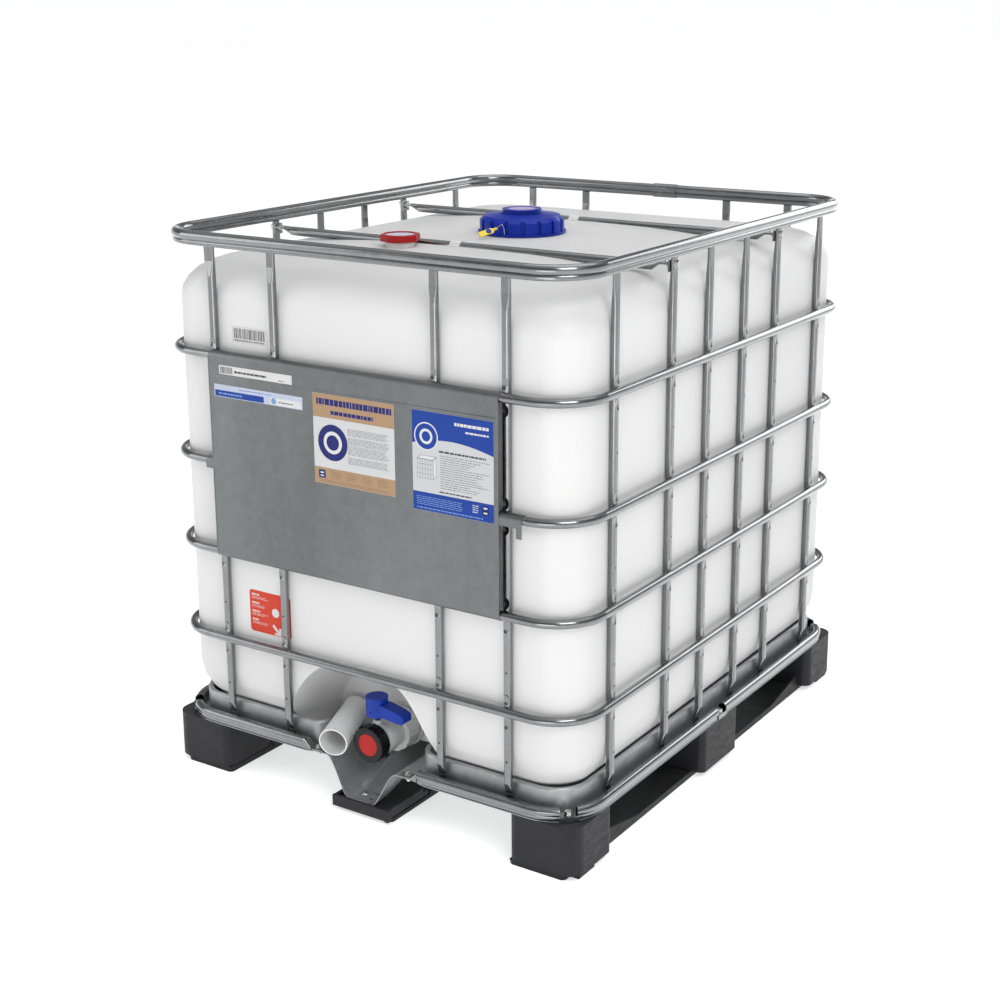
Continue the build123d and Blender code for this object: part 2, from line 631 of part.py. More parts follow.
# ---------------------------------------------------------------------------
# label plate: thin sheet hooked over the first ring and under the third
# ---------------------------------------------------------------------------
PLATE = 0.9
PLATE_IN = RING_R + 0.1
ring_y = -RING_HY


def hook(z, a0, a1):
    """Arc of sheet round a ring, as points on both faces, in Y and Z."""
    inner_pts = []
    outer_pts = []
    for i in range(13):
        a = math.radians(a0 + (a1 - a0) * i / 12)
        inner_pts.append((ring_y + PLATE_IN * math.cos(a), z + PLATE_IN * math.sin(a)))
        outer_pts.append((ring_y + (PLATE_IN + PLATE) * math.cos(a), z + (PLATE_IN + PLATE) * math.sin(a)))
    return inner_pts, outer_pts


def plate_profile(x):
    in_top, out_top = hook(RING_Z[0], 20.0, 180.0)
    in_low, out_low = hook(RING_Z[2], 180.0, 340.0)
    face_y = ring_y - PLATE_IN
    crease_in = [(face_y, 866.0), (face_y - 0.8, 864.4), (face_y - 0.8, 862.2), (face_y, 860.6)]
    crease_out = [(y - PLATE, z) for y, z in crease_in]
    pts = in_top + crease_in + in_low + list(reversed(out_low)) + list(reversed(crease_out))
    pts = pts + list(reversed(out_top))
    return make_face(Polyline(*[(x, y, z) for y, z in pts], close=True))


plate = extrude(plate_profile(-347.0), amount=685.0, dir=(1, 0, 0))
hem_y = ring_y - PLATE_IN - 0.6
plate = plate + cyl(1.0, 336.6, hem_y - 0.4, 497.0, 899.0)
plate = plate + cyl(0.95, -346.6, hem_y - 0.35, 497.0, 899.0)


def ear(x0, x1, z, hang):
    """Tab that wraps a ring, with a tail hanging below it."""
    ring_in, ring_out = hook(z, 40.0, 180.0)
    face_y = ring_y - PLATE_IN
    pts = ring_in + [(face_y, z - hang), (face_y - PLATE, z - hang)] + list(reversed(ring_out))
    profile = make_face(Polyline(*[(x0, y, zz) for y, zz in pts], close=True))
    return extrude(profile, amount=x1 - x0, dir=(1, 0, 0))


plate = plate + ear(336.0, 386.0, RING_Z[1], 14.0)
plate = plate + block(374.0, 386.0, -601.0, -600.1, 650.0, 672.0)
plate = plate + ear(-366.0, -345.0, RING_Z[1], 14.0)
for x in FRONT_UP_X:
    plate = plate - block(x - 9.6, x + 9.6, -589.3, -570.0, 470.0, 930.0)
print("plate valid", plate.is_valid, "solids", len(plate.solids()))
save(plate, "label_plate")

# ---------------------------------------------------------------------------
# stuck-on sheets
# ---------------------------------------------------------------------------
SHEET_FRONT = -601.05
sheets = {
    "barcode_strip": (-318.0, -133.0, 867.2, 885.0, 0.35),
    "document_pouch": (-333.0, -108.0, 821.0, 846.0, 0.7),
    "notice_left": (-83.0, 109.0, 684.0, 860.2, 0.35),
    "notice_right": (150.0, 328.0, 670.0, 858.0, 0.35),
}
for name in sheets:
    x0, x1, z0, z1, t = sheets[name]
    save(block(x0, x1, SHEET_FRONT - t, SHEET_FRONT, z0, z1), name)
save(block(-305.0, -214.0, -575.0, -574.6, 928.0, 960.0), "bottle_label_white")
red_plane = Plane(origin=(-236.0, -574.6, 373.5), x_dir=(1, 0, 0), z_dir=(0, -1, 0))
save(extrude(red_plane * RectangleRounded(108.0, 89.0, 7.0), 0.4), "bottle_label_red")

# ---------------------------------------------------------------------------
# filling lid: scalloped cap, gasket and centre plug
# ---------------------------------------------------------------------------
LID_Z0 = 1098.2
LID_TOP = 1134.0
lobes = 16
lid = cyl(LID_R, 0, 0, LID_Z0, LID_TOP)
for i in range(lobes):
    mid = 360.0 * i / lobes
    pts = [(LID_R - 3, -13.0), (LID_R + 2.2, -13.0), (LID_R + 4.2, -10.5), (LID_R + 4.6, 0.0),
           (LID_R + 4.2, 10.5), (LID_R + 2.2, 13.0), (LID_R - 3, 13.0)]
    lobe = Pos(0, 0, LID_Z0) * extrude(make_face(Polyline(*pts, close=True)), LID_TOP - 2.0 - LID_Z0)
    lid = lid + Rot(0, 0, mid) * lobe
trim = revolve(
    make_face(Polyline((78.0, 0, 1140.0), (78.0, 0, 1135.5), (92.0, 0, 1122.0), (100.0, 0, 1122.0),
                       (100.0, 0, 1140.0), close=True)), Axis.Z, 360)
lid = lid - trim
lid = lid + cyl(LID_FLANGE_R, 0, 0, LID_Z0, LID_Z0 + 3.6)
cone = revolve(
    make_face(Polyline((0, 0, 1130.0), (76.0, 0, 1130.0), (76.0, 0, 1134.0), (48.0, 0, 1138.0),
                       (0, 0, 1138.0), close=True)), Axis.Z, 360)
lid = lid + cone
lid = lid + cyl(46.0, 0, 0, 1130.0, 1139.5)
lid = lid - cyl(78.3, 0, 0, LID_Z0 - 1, 1117.0)
lid = lid - cyl(30.0, 0, 0, 1100.0, 1150.0)
lid = lid - (cyl(72.0, 0, 0, 1110.0, 1128.0) - cyl(36.0, 0, 0, 1100.0, 1130.0))
for i in range(8):
    lid = lid + Rot(0, 0, 22.5 + 45.0 * i) * block(35.0, 74.0, -1.5, 1.5, 1117.2, 1129.0)
lid = lid - cyl(78.3, 0, 0, LID_Z0 - 1, 1117.0)
print("lid valid", lid.is_valid, "solids", len(lid.solids()))
save(lid, "lid")
save(cyl(76.5, 0, 0, NECK_Z + 0.1, 1117.0) - cyl(71.0, 0, 0, NECK_Z, 1118.0), "lid_gasket")

plug = cyl(29.9, 0, 0, 1118.0, 1141.0) - cyl(26.0, 0, 0, 1117.0, 1138.0)
head = cyl(41.0, 0, 0, 1141.0, 1147.0)
for i in range(24):
    head = head - Rot(0, 0, 15.0 * i) * cyl(1.6, 42.0, 0, 1140.0, 1148.0)
plug = plug + head
plug = plug - cyl(29.0, 0, 0, 1145.0, 1148.0)
save(plug, "lid_plug")
save(cyl(28.8, 0, 0, 1145.0, 1146.4), "plug_disc")
save(cyl(40.0, 0, 0, 1139.6, 1141.0) - cyl(30.5, 0, 0, 1139.0, 1142.0), "plug_gasket")

# ---------------------------------------------------------------------------
# small bung cap
# ---------------------------------------------------------------------------
cap = extrude(RegularPolygon(40.5, 8), 14.0)
cap = chamfer(cap.edges().group_by(Axis.Z)[-1], 1.6)
cap = cap - Pos(0, 0, 10.5) * Cylinder(31.0, 10.0, align=(Align.CENTER, Align.CENTER, Align.MIN))
cap = Pos(0, 0, 1104.6) * cap
cap = cap - cyl(34.0, 0, 0, 1104.0, 1107.0)
cap = cap + cyl(34.0, 0, 0, 1104.6, 1107.6)
cap = cap + cyl(23.9, 0, 0, 1084.0, 1107.0) - cyl(20.0, 0, 0, 1083.0, 1104.0)
save(Pos(BUNG_X, BUNG_Y, 0) * cap, "bung_cap")
save(cyl(30.8, BUNG_X, BUNG_Y, 1115.1, 1116.4), "bung_disc")
save(cyl(29.5, BUNG_X, BUNG_Y, 1103.1, 1104.6) - cyl(24.2, BUNG_X, BUNG_Y, 1103.0, 1105.0), "bung_gasket")

# ---------------------------------------------------------------------------
# seal tag and its wire, tied to a lobe of the lid
# ---------------------------------------------------------------------------
tag_face = RectangleRounded(34.0, 13.0, 3.0) + Pos(20.0, 1.0) * Rectangle(16.0, 5.0)
tag = extrude(tag_face, 2.2)
tag = tag - Pos(25.0, 1.0, -1.0) * Cylinder(1.2, 8.0)
TAG_PLACE = Pos(-9.0, -122.0, 1108.6) * Rot(0, 0, 66.0) * Rot(0, -12.0, 0) * Rot(38.0, 0, 0)
save(TAG_PLACE * tag, "seal_tag")
button = Pos(6.0, 0, 2.22) * Cylinder(5.6, 1.6, align=(Align.CENTER, Align.CENTER, Align.MIN))
save(TAG_PLACE * button, "seal_button")
wire_start = (TAG_PLACE * Pos(25.0, 1.0, 3.1)).position
wire_points = [
    (wire_start.X, wire_start.Y, wire_start.Z), (8.0, -98.0, 1121.5), (13.0, -95.5, 1125.0),
    (16.5, -93.4, 1115.0), (18.0, -94.6, 1104.0)]
print("wire start", wire_start)
wire_path = FilletPolyline(*wire_points, radius=[1.5, 2.5, 2.5])
wire_plane = Plane(origin=wire_path @ 0, z_dir=wire_path % 0)
save(sweep(wire_plane * Circle(0.6), path=wire_path), "seal_wire")

# ---------------------------------------------------------------------------
# outlet valve: body, union nut, disc, stem, lever
# ---------------------------------------------------------------------------
STEM_R = 4.5
body = cyl_y(VALVE_R, 0, VALVE_Z, -562.0, -484.0)
body = body + cyl_y(36.0, 0, VALVE_Z, -484.5, -474.0)
housing = cyl(8.0, 0, VALVE_Y, VALVE_Z + 20.0, 186.0) + cyl(10.5, 0, VALVE_Y, VALVE_Z + 20.0, 178.0)
body = body + (housing & block(-20.0, 20.0, CAP_BACK + 0.7, -500.0, 150.0, 200.0))
body = body + cyl_y(34.0, 0, VALVE_Z, -538.0, -508.0)
body = body - cyl_y(VALVE_BORE, 0, VALVE_Z, -570.0, -470.0)
body = body - cyl(STEM_R + 0.05, 0, VALVE_Y, VALVE_Z - 29.0, 190.0)
for i in range(2):
    y = -560.0 + 5.0 * i
    body = body - (cyl_y(33.0, 0, VALVE_Z, y, y + 2.0) - cyl_y(30.0, 0, VALVE_Z, y - 1, y + 3.0))
print("valve valid", body.is_valid, "solids", len(body.solids()))
save(body, "valve_body")

nut = cyl_y(43.0, 0, VALVE_Z, -487.0, -452.0)
for i in range(12):
    nut = nut - Pos(0, 0, VALVE_Z) * Rot(0, 30.0 * i, 0) * Pos(45.5, -469.5, 0) * Rot(90, 0, 0) * Cylinder(4.5, 40.0)
nut = nut - cyl_y(31.3, 0, VALVE_Z, -490.0, -484.5)
nut = nut - cyl_y(36.2, 0, VALVE_Z, -484.5, -450.0)
save(nut, "union_nut")
save(cyl_y(30.0, 0, VALVE_Z, -474.0, -470.0) - cyl_y(25.2, 0, VALVE_Z, -475.0, -469.0), "union_gasket")

save(cyl_y(24.75, 0, VALVE_Z, VALVE_Y - 2.0, VALVE_Y + 2.0)
     + cyl(STEM_R + 1.4, 0, VALVE_Y, VALVE_Z - 23.0, VALVE_Z + 23.0)
     - cyl(STEM_R, 0, VALVE_Y, VALVE_Z - 40.0, VALVE_Z + 40.0), "butterfly_disc")
save(cyl(STEM_R, 0, VALVE_Y, VALVE_Z - 28.6, 214.0), "valve_stem")

HUB_R = 22.5
hub = cyl(HUB_R, 0, VALVE_Y, 198.0, 237.0)
hub = hub - cyl(HUB_R - 3.5, 0, VALVE_Y, 197.0, 211.0)
hub = hub + cyl(9.0, 0, VALVE_Y, 203.0, 214.0)
arm_pts = [(6.0, 201.0), (70.0, 195.5), (73.5, 198.0), (75.0, 210.5), (60.0, 217.5), (38.0, 221.5),
           (25.0, 224.5), (6.0, 224.5)]
arm = make_face(Polyline(*[(x, VALVE_Y, z) for x, z in arm_pts], close=True))
arm = extrude(arm, amount=15.0, both=True)
arm_plan = Pos(39.0, VALVE_Y, 180.0) * extrude(RectangleRounded(74.0, 30.0, 6.0), 60.0)
arm = arm & arm_plan
arm_hollow = make_face(Polyline(*[(x, VALVE_Y, z) for x, z in (
    (2.0, 190.0), (69.0, 185.0), (70.5, 206.0), (58.0, 213.0), (2.0, 219.0))], close=True))
arm = arm - extrude(arm_hollow, amount=12.0, both=True)
arm = arm - cyl(15.0, 0, VALVE_Y, 180.0, 240.0)
lever = hub + arm
lever = lever - cyl(HUB_R - 3.5, 0, VALVE_Y, 180.0, 211.0) + cyl(9.0, 0, VALVE_Y, 203.0, 214.0)
lever = lever - cyl(STEM_R, 0, VALVE_Y, 180.0, 214.0)
lever = lever - Pos(-14.0, VALVE_Y - 22.0, 219.0) * Rot(90, 0, 0) * Cylinder(2.2, 14.0)
lever = lever - cyl_y(2.05, 0, 209.0, VALVE_Y - 30.0, VALVE_Y + 30.0)
print("lever valid", lever.is_valid, "solids", len(lever.solids()))
save(lever, "lever")
pin = cyl_y(2.0, 0, 209.0, VALVE_Y - 9.0, VALVE_Y + 9.0)
pin_gap = cyl(STEM_R, 0, VALVE_Y, 180.0, 214.0)
save(group((pin - pin_gap).solids()), "lever_pin")

# outlet cap
cap_len = CAP_BACK - CAP_FRONT
ocap = cyl_y(CAP_R, 0, VALVE_Z, CAP_FRONT, CAP_BACK)
for i in range(20):
    rib = Pos(CAP_R + 0.2, 0, 0) * Box(2.6, cap_len - 2.0, 4.2)
    ocap = ocap + Pos(0, (CAP_FRONT + CAP_BACK) / 2, VALVE_Z) * Rot(0, 18.0 * i, 0) * rib
for deg in (35.0, 215.0):
    lug = Pos(CAP_R + 2.0, 0, 0) * Box(7.0, 12.0, 6.0)
    ocap = ocap + Pos(0, CAP_BACK - 6.0, VALVE_Z) * Rot(0, deg, 0) * lug
ocap = ocap - cyl_y(32.0, 0, VALVE_Z, -566.0, CAP_BACK + 1.0)
ocap = ocap - cyl_y(23.0, 0, VALVE_Z, CAP_FRONT - 1.0, -565.0)
save(ocap, "outlet_cap")
save(cyl_y(22.9, 0, VALVE_Z, CAP_FRONT + 0.6, -566.0), "outlet_cap_disc")
save(cyl_y(31.8, 0, VALVE_Z, -566.0, -562.3) - cyl_y(26.0, 0, VALVE_Z, -567.0, -560.0), "outlet_cap_gasket")

# ---------------------------------------------------------------------------
# pouring spout stored beside the valve
# ---------------------------------------------------------------------------
SPOUT_MOUTH = (-71.0, -590.0, 139.5)
SPOUT_DIR = (0.315, -0.943, -0.105)
spout_plane = Plane(origin=SPOUT_MOUTH, z_dir=SPOUT_DIR)
SPOUT_LEN = 140.0
tube_out = Cone(27.0, 30.0, SPOUT_LEN, align=(Align.CENTER, Align.CENTER, Align.MAX))
tube_in = Cone(24.2, 27.2, SPOUT_LEN + 0.02, align=(Align.CENTER, Align.CENTER, Align.MAX))
spout = tube_out - Pos(0, 0, 0.01) * tube_in
spout = spout + (Pos(0, 0, -SPOUT_LEN + 5.0) * Cylinder(28.0, 10.0) - Pos(0, 0, -SPOUT_LEN + 5.0) * Cylinder(23.0, 20.0))
save(spout_plane.location * spout, "spout")
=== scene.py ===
import json
import math
import random

import bmesh
import bpy
from mathutils import Matrix, Vector


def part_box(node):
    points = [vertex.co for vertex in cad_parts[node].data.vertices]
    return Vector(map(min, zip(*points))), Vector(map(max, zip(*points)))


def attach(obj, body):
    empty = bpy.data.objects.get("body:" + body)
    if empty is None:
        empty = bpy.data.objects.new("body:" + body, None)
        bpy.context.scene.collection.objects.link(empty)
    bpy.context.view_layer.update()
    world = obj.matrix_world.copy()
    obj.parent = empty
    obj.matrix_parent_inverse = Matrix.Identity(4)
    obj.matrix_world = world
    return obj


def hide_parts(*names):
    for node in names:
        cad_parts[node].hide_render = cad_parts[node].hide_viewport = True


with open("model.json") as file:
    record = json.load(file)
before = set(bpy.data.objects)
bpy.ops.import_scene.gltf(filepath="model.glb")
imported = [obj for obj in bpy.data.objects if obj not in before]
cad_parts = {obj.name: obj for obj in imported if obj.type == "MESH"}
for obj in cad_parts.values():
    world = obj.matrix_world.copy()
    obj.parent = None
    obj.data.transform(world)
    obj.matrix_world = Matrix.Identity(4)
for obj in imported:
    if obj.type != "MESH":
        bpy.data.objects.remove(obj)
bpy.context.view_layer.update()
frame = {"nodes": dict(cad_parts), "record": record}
NODES = frame["nodes"]
MM = 0.001


# ---------------------------------------------------------------------------
# camera
# ---------------------------------------------------------------------------
CAM_POS = Vector((1.9197, -2.9682, 1.5892))
CAM_AZ, CAM_PITCH, CAM_ROLL = 33.554, 14.998, -0.300  # degrees
CAM_FOCAL = 1.67748  # focal length over sensor width
CAM_SHIFT = (-0.0038, -0.06)
SENSOR_MM = 36.0
CLIP_END = 50.0


def make_camera():
    az, pitch, roll = (math.radians(v) for v in (CAM_AZ, CAM_PITCH, CAM_ROLL))
    flat = math.cos(pitch)
    ahead = Vector((-math.sin(az) * flat, math.cos(az) * flat, -math.sin(pitch)))
    right = Vector((math.cos(az), math.sin(az), 0))
    up = right.cross(ahead)
    r = right * math.cos(roll) + up * math.sin(roll)
    u = up * math.cos(roll) - right * math.sin(roll)
    rot = Matrix((r, u, -ahead)).transposed()
    data = bpy.data.cameras.new("camera")
    cam = bpy.data.objects.new("camera", data)
    bpy.context.scene.collection.objects.link(cam)
    cam.matrix_world = Matrix.Translation(CAM_POS) @ rot.to_4x4()
    data.sensor_width = SENSOR_MM
    data.lens = SENSOR_MM * CAM_FOCAL
    data.shift_x, data.shift_y = CAM_SHIFT
    data.clip_end = CLIP_END
    bpy.context.scene.camera = cam


make_camera()


# ---------------------------------------------------------------------------
# material helpers
# ---------------------------------------------------------------------------
class Mat:
    """A principled material with small helpers for procedural detail."""

    def __init__(self, name, rough=0.5, metal=0.0, **sockets):
        self.m = bpy.data.materials.new(name)
        self.m.use_nodes = True
        self.t = self.m.node_tree
        self.bsdf = next(n for n in self.t.nodes if n.type == "BSDF_PRINCIPLED")
        self.bsdf.inputs["Roughness"].default_value = rough
        self.bsdf.inputs["Metallic"].default_value = metal
        for key, value in sockets.items():
            self.bsdf.inputs[key.replace("_", " ")].default_value = value
        self.coord = self.t.nodes.new("ShaderNodeTexCoord")

    def node(self, kind, **props):
        n = self.t.nodes.new(kind)
        for key, value in props.items():
            setattr(n, key, value)
        return n

    def link(self, a, b):
        self.t.links.new(a, b)

    def mapped(self, scale):
        n = self.node("ShaderNodeMapping")
        n.inputs["Scale"].default_value = scale
        self.link(self.coord.outputs["Object"], n.inputs["Vector"])
        return n.outputs["Vector"]

    def noise(self, scale, stretch=(1, 1, 1), detail=3.0, rough=0.5, distort=0.0):
        n = self.node("ShaderNodeTexNoise")
        n.inputs["Scale"].default_value = scale
        n.inputs["Detail"].default_value = detail
        n.inputs["Roughness"].default_value = rough
        n.inputs["Distortion"].default_value = distort
        self.link(self.mapped(stretch), n.inputs["Vector"])
        return n.outputs["Fac"]

    def cells(self, scale, stretch=(1, 1, 1)):
        n = self.node("ShaderNodeTexVoronoi")
        n.inputs["Scale"].default_value = scale
        self.link(self.mapped(stretch), n.inputs["Vector"])
        bw = self.node("ShaderNodeSeparateColor")
        self.link(n.outputs["Color"], bw.inputs["Color"])
        return bw.outputs["Red"]

    def remap(self, value, lo, hi, a=0.3, b=0.7):
        n = self.node("ShaderNodeMapRange")
        n.inputs["From Min"].default_value = a
        n.inputs["From Max"].default_value = b
        n.inputs["To Min"].default_value = lo
        n.inputs["To Max"].default_value = hi
        self.link(value, n.inputs["Value"])
        return n.outputs["Result"]

    def ramp(self, value, stops):
        n = self.node("ShaderNodeValToRGB")
        while len(n.color_ramp.elements) < len(stops):
            n.color_ramp.elements.new(0.5)
        for e, (at, color) in zip(n.color_ramp.elements, stops):
            e.position = at
            e.color = (*color, 1)
        self.link(value, n.inputs["Fac"])
        return n.outputs["Color"]

    def mix(self, fac, a, b, mode="MIX"):
        n = self.node("ShaderNodeMix", data_type="RGBA", blend_type=mode)
        for socket, value in ((n.inputs[0], fac), (n.inputs[6], a), (n.inputs[7], b)):
            if isinstance(value, (int, float)):
                socket.default_value = value
            elif isinstance(value, tuple):
                socket.default_value = (*value, 1)
            else:
                self.link(value, socket)
        return n.outputs[2]

    def math(self, op, a, b=0.0):
        n = self.node("ShaderNodeMath", operation=op)
        for socket, value in ((n.inputs[0], a), (n.inputs[1], b)):
            if isinstance(value, (int, float)):
                socket.default_value = value
            else:
                self.link(value, socket)
        return n.outputs[0]

    def axis(self, which):
        n = self.node("ShaderNodeSeparateXYZ")
        self.link(self.coord.outputs["Object"], n.inputs["Vector"])
        return n.outputs[which]

    def color(self, value):
        if isinstance(value, tuple):
            self.bsdf.inputs["Base Color"].default_value = (*value, 1)
        else:
            self.link(value, self.bsdf.inputs["Base Color"])
        return self

    def rough(self, value):
        self.link(value, self.bsdf.inputs["Roughness"])
        return self

    def bump(self, *layers):
        """Each layer is (height, strength, distance in metres)."""
        last = None
        for height, strength, distance in layers:
            n = self.node("ShaderNodeBump")
            n.inputs["Strength"].default_value = strength
            n.inputs["Distance"].default_value = distance
            self.link(height, n.inputs["Height"])
            if last is not None:
                self.link(last, n.inputs["Normal"])
            last = n.outputs["Normal"]
        self.link(last, self.bsdf.inputs["Normal"])
        return self


def shade(color, k):
    return tuple(min(1.0, c * k) for c in color)


EVEN = (1, 1, 1)
COAT_ROUGH = 0.09


def zinc(name, base, spread=0.12, rough=(0.22, 0.42), spangle=70.0, cloud=9.0,
         stretch=EVEN, metal=1.0, coat=0.0):
    """Zinc-coated steel: soft clouds, faint crystal cells, uneven gloss and drawn streaks."""
    m = Mat(name, metal=metal, Coat_Weight=coat, Coat_Roughness=COAT_ROUGH)
    clouds = m.ramp(m.noise(cloud, stretch, 5.0, 0.6), (
        (0.3, shade(base, 1 - spread)), (0.52, base), (0.72, shade(base, 1 + spread))))
    cell = m.remap(m.cells(spangle), 0.94, 1.04, 0.0, 1.0)
    spangle_and_painted_shade = m.node("ShaderNodeCombineColor")
    for channel in ("Red", "Green", "Blue"):
        m.link(cell, spangle_and_painted_shade.inputs[channel])
    m.color(m.mix(1.0, clouds, spangle_and_painted_shade.outputs["Color"], "MULTIPLY"))
    gloss = m.math("ADD", m.noise(34.0, stretch, 4.0, 0.65), m.math("MULTIPLY", m.cells(spangle), 0.12))
    m.rough(m.remap(gloss, rough[0], rough[1], 0.35, 0.75))
    m.bump((m.noise(120.0, stretch, 3.0), 0.10, 0.0006),
           (m.noise(14.0, stretch, 2.0), 0.10, 0.002))
    return m.m


PLASTIC_GRAIN = 900.0
PLASTIC_CLOUD = 6.0


def plastic(name, base, spread=0.10, rough=(0.35, 0.5), **sockets):
    """Moulded plastic: slight colour drift, uneven sheen, moulded grain and faint scuffs."""
    m = Mat(name, **sockets)
    m.color(m.ramp(m.noise(PLASTIC_CLOUD, EVEN, 4.0, 0.6), (
        (0.32, shade(base, 1 - spread)), (0.55, base), (0.75, shade(base, 1 + spread)))))
    m.rough(m.remap(m.noise(26.0, (1, 1, 0.6), 5.0, 0.7), rough[0], rough[1]))
    m.bump((m.noise(PLASTIC_GRAIN, EVEN, 2.0), 0.05, 0.0004),
           (m.noise(11.0, EVEN, 2.0), 0.06, 0.002))
    return m.m


PAINTED_SHADE_LOW_Z, PAINTED_SHADE_HIGH_Z = 0.12, 0.34  # painted shade: the bottle's colour is painted a little darker towards its foot than up its walls


def polyethylene(name, base):
    """Milky blow-moulded wall: light passes a little way in, with soft sinks and flow marks."""
    m = Mat(name, rough=0.42, Subsurface_Weight=0.22, Subsurface_Scale=0.02)
    m.bsdf.inputs["Subsurface Radius"].default_value = (1.0, 0.95, 0.85)
    drift = m.ramp(m.noise(1.6, (1, 1, 0.5), 3.0, 0.5), (
        (0.30, shade(base, 0.955)), (0.55, base), (0.8, shade(base, 1.025))))
    # painted shade: the wall colour is multiplied by 0.93 at the foot, rising to 1.0 at the upper height
    height = m.remap(m.axis("Z"), 0.93, 1.0, PAINTED_SHADE_LOW_Z, PAINTED_SHADE_HIGH_Z)
    spangle_and_painted_shade = m.node("ShaderNodeCombineColor")
    for channel in ("Red", "Green", "Blue"):
        m.link(height, spangle_and_painted_shade.inputs[channel])
    m.color(m.mix(1.0, drift, spangle_and_painted_shade.outputs["Color"], "MULTIPLY"))
    m.rough(m.remap(m.noise(7.0, (1, 1, 0.4), 4.0, 0.6), 0.34, 0.5))
    m.bump((m.noise(2.6, (1, 1, 0.7), 2.0), 0.25, 0.012),
           (m.noise(420.0, EVEN, 2.0), 0.04, 0.0005))
    return m.m


DUST = (0.055, 0.055, 0.057)


def pallet(name, base):
    """Black recycled plastic: dusty upper faces, scuffed and dull, with a coarse moulded grain."""
    m = Mat(name, Specular_IOR_Level=0.3)
    geo = m.node("ShaderNodeNewGeometry")
    split = m.node("ShaderNodeSeparateXYZ")
    m.link(geo.outputs["Normal"], split.inputs["Vector"])
    dust = m.math("MULTIPLY", m.remap(split.outputs["Z"], 0.0, 1.0, 0.2, 1.0),
                  m.remap(m.noise(18.0, EVEN, 5.0, 0.7), 0.1, 0.5))
    body = m.ramp(m.noise(8.0, (1, 1, 2.0), 5.0, 0.65), (
        (0.3, shade(base, 0.75)), (0.55, base), (0.78, shade(base, 1.5))))
    m.color(m.mix(dust, body, DUST))
    m.rough(m.remap(m.noise(30.0, (1, 1, 3.0), 5.0, 0.7), 0.38, 0.62))
    m.bump((m.noise(600.0, EVEN, 2.0), 0.10, 0.0006),
           (m.noise(45.0, (1, 1, 4.0), 4.0), 0.10, 0.001))
    return m.m


def paper(name, base, rough=0.45):
    """Printed film label: faint fibre, slight lift and soft sheen."""
    m = Mat(name, Specular_IOR_Level=0.25)
    m.color(m.ramp(m.noise(35.0, EVEN, 3.0, 0.6), (
        (0.3, shade(base, 0.96)), (0.6, base), (0.8, shade(base, 1.02)))))
    m.rough(m.remap(m.noise(60.0, EVEN, 2.0), rough - 0.08, rough + 0.08))
    m.bump((m.noise(22.0, EVEN, 2.0), 0.08, 0.001))
    return m.m


# ---------------------------------------------------------------------------
# materials by record slot
# ---------------------------------------------------------------------------
STEEL = (0.195, 0.198, 0.200)
MATS = {
    "galvanised_tube": zinc("zinc_tube", STEEL, 0.10, (0.14, 0.26), 160.0, 12.0, coat=1.0),
    "galvanised_sheet": zinc("zinc_sheet", (0.36, 0.38, 0.38), 0.14, (0.34, 0.50), 90.0, 6.0, metal=0.7),
    "plate_sheet": zinc("plate_zinc", (0.162, 0.174, 0.177), 0.16, (0.30, 0.42), 70.0, 3.0, (1.4, 1, 0.35)),
    "zinc_bolt": zinc("bright_zinc", (0.62, 0.62, 0.60), 0.08, (0.18, 0.30), 300.0, 40.0),
    "natural_polyethylene": polyethylene("natural_pe", (0.72, 0.717, 0.705)),
    "spout_polyethylene": polyethylene("spout_pe", (0.74, 0.745, 0.74)),
    "foot_plastic": pallet("foot_black", (0.014, 0.014, 0.016)),
    "runner_plastic": pallet("runner_black", (0.008, 0.008, 0.009)),
    "blue_lid": plastic("lid_blue", (0.002, 0.022, 0.33), 0.12, (0.26, 0.40), Specular_IOR_Level=0.22),
    "blue_lever": plastic("lever_blue", (0.003, 0.035, 0.33), 0.12, (0.34, 0.5), Specular_IOR_Level=0.25),
    "lilac_disc": plastic("disc_lilac", (0.46, 0.36, 0.60), 0.08, (0.4, 0.55)),
    "red_cap": plastic("cap_red", (0.36, 0.007, 0.006), 0.12, (0.25, 0.4), Specular_IOR_Level=0.25),
    "pale_disc": plastic("disc_pale", (0.56, 0.60, 0.74), 0.06, (0.35, 0.5)),
    "yellow_tag": plastic("tag_yellow", (0.80, 0.60, 0.02), 0.08, (0.3, 0.42)),
    "seal_wire_steel": zinc("wire_bright", (0.72, 0.72, 0.72), 0.05, (0.2, 0.3), 400.0, 60.0),
    "gasket_rubber": plastic("gasket_black", (0.02, 0.02, 0.02), 0.15, (0.6, 0.8)),
    "valve_white": plastic("valve_white", (0.62, 0.625, 0.61), 0.05, (0.35, 0.5)),
    "white_nut": plastic("nut_white", (0.66, 0.665, 0.65), 0.05, (0.35, 0.5)),
    "valve_disc_plastic": plastic("disc_white", (0.6, 0.6, 0.59), 0.05, (0.4, 0.5)),
    "black_cap": plastic("cap_black", (0.004, 0.004, 0.005), 0.25, (0.25, 0.42), Specular_IOR_Level=0.3),
    "red_disc": plastic("disc_red", (0.38, 0.010, 0.008), 0.10, (0.28, 0.42), Specular_IOR_Level=0.25),
    "sticker_strip": paper("label_strip", (0.60, 0.60, 0.59)),
    "sticker_pouch": paper("label_pouch", (0.45, 0.49, 0.60), 0.25),
    "sticker_notice_left": paper("label_white_left", (0.54, 0.55, 0.55)),
    "sticker_notice_right": paper("label_white_right", (0.50, 0.51, 0.52)),
    "sticker_white": paper("label_small_white", (0.60, 0.60, 0.59)),
    "sticker_red": paper("label_red", (0.55, 0.045, 0.02)),
}

slot_of = {s["node"]: s["material_slot"] for s in frame["record"]["subparts"]}
for name, obj in NODES.items():
    if not obj.material_slots:
        obj.data.materials.append(None)
    for s in obj.material_slots:
        s.material = MATS[slot_of[name]]


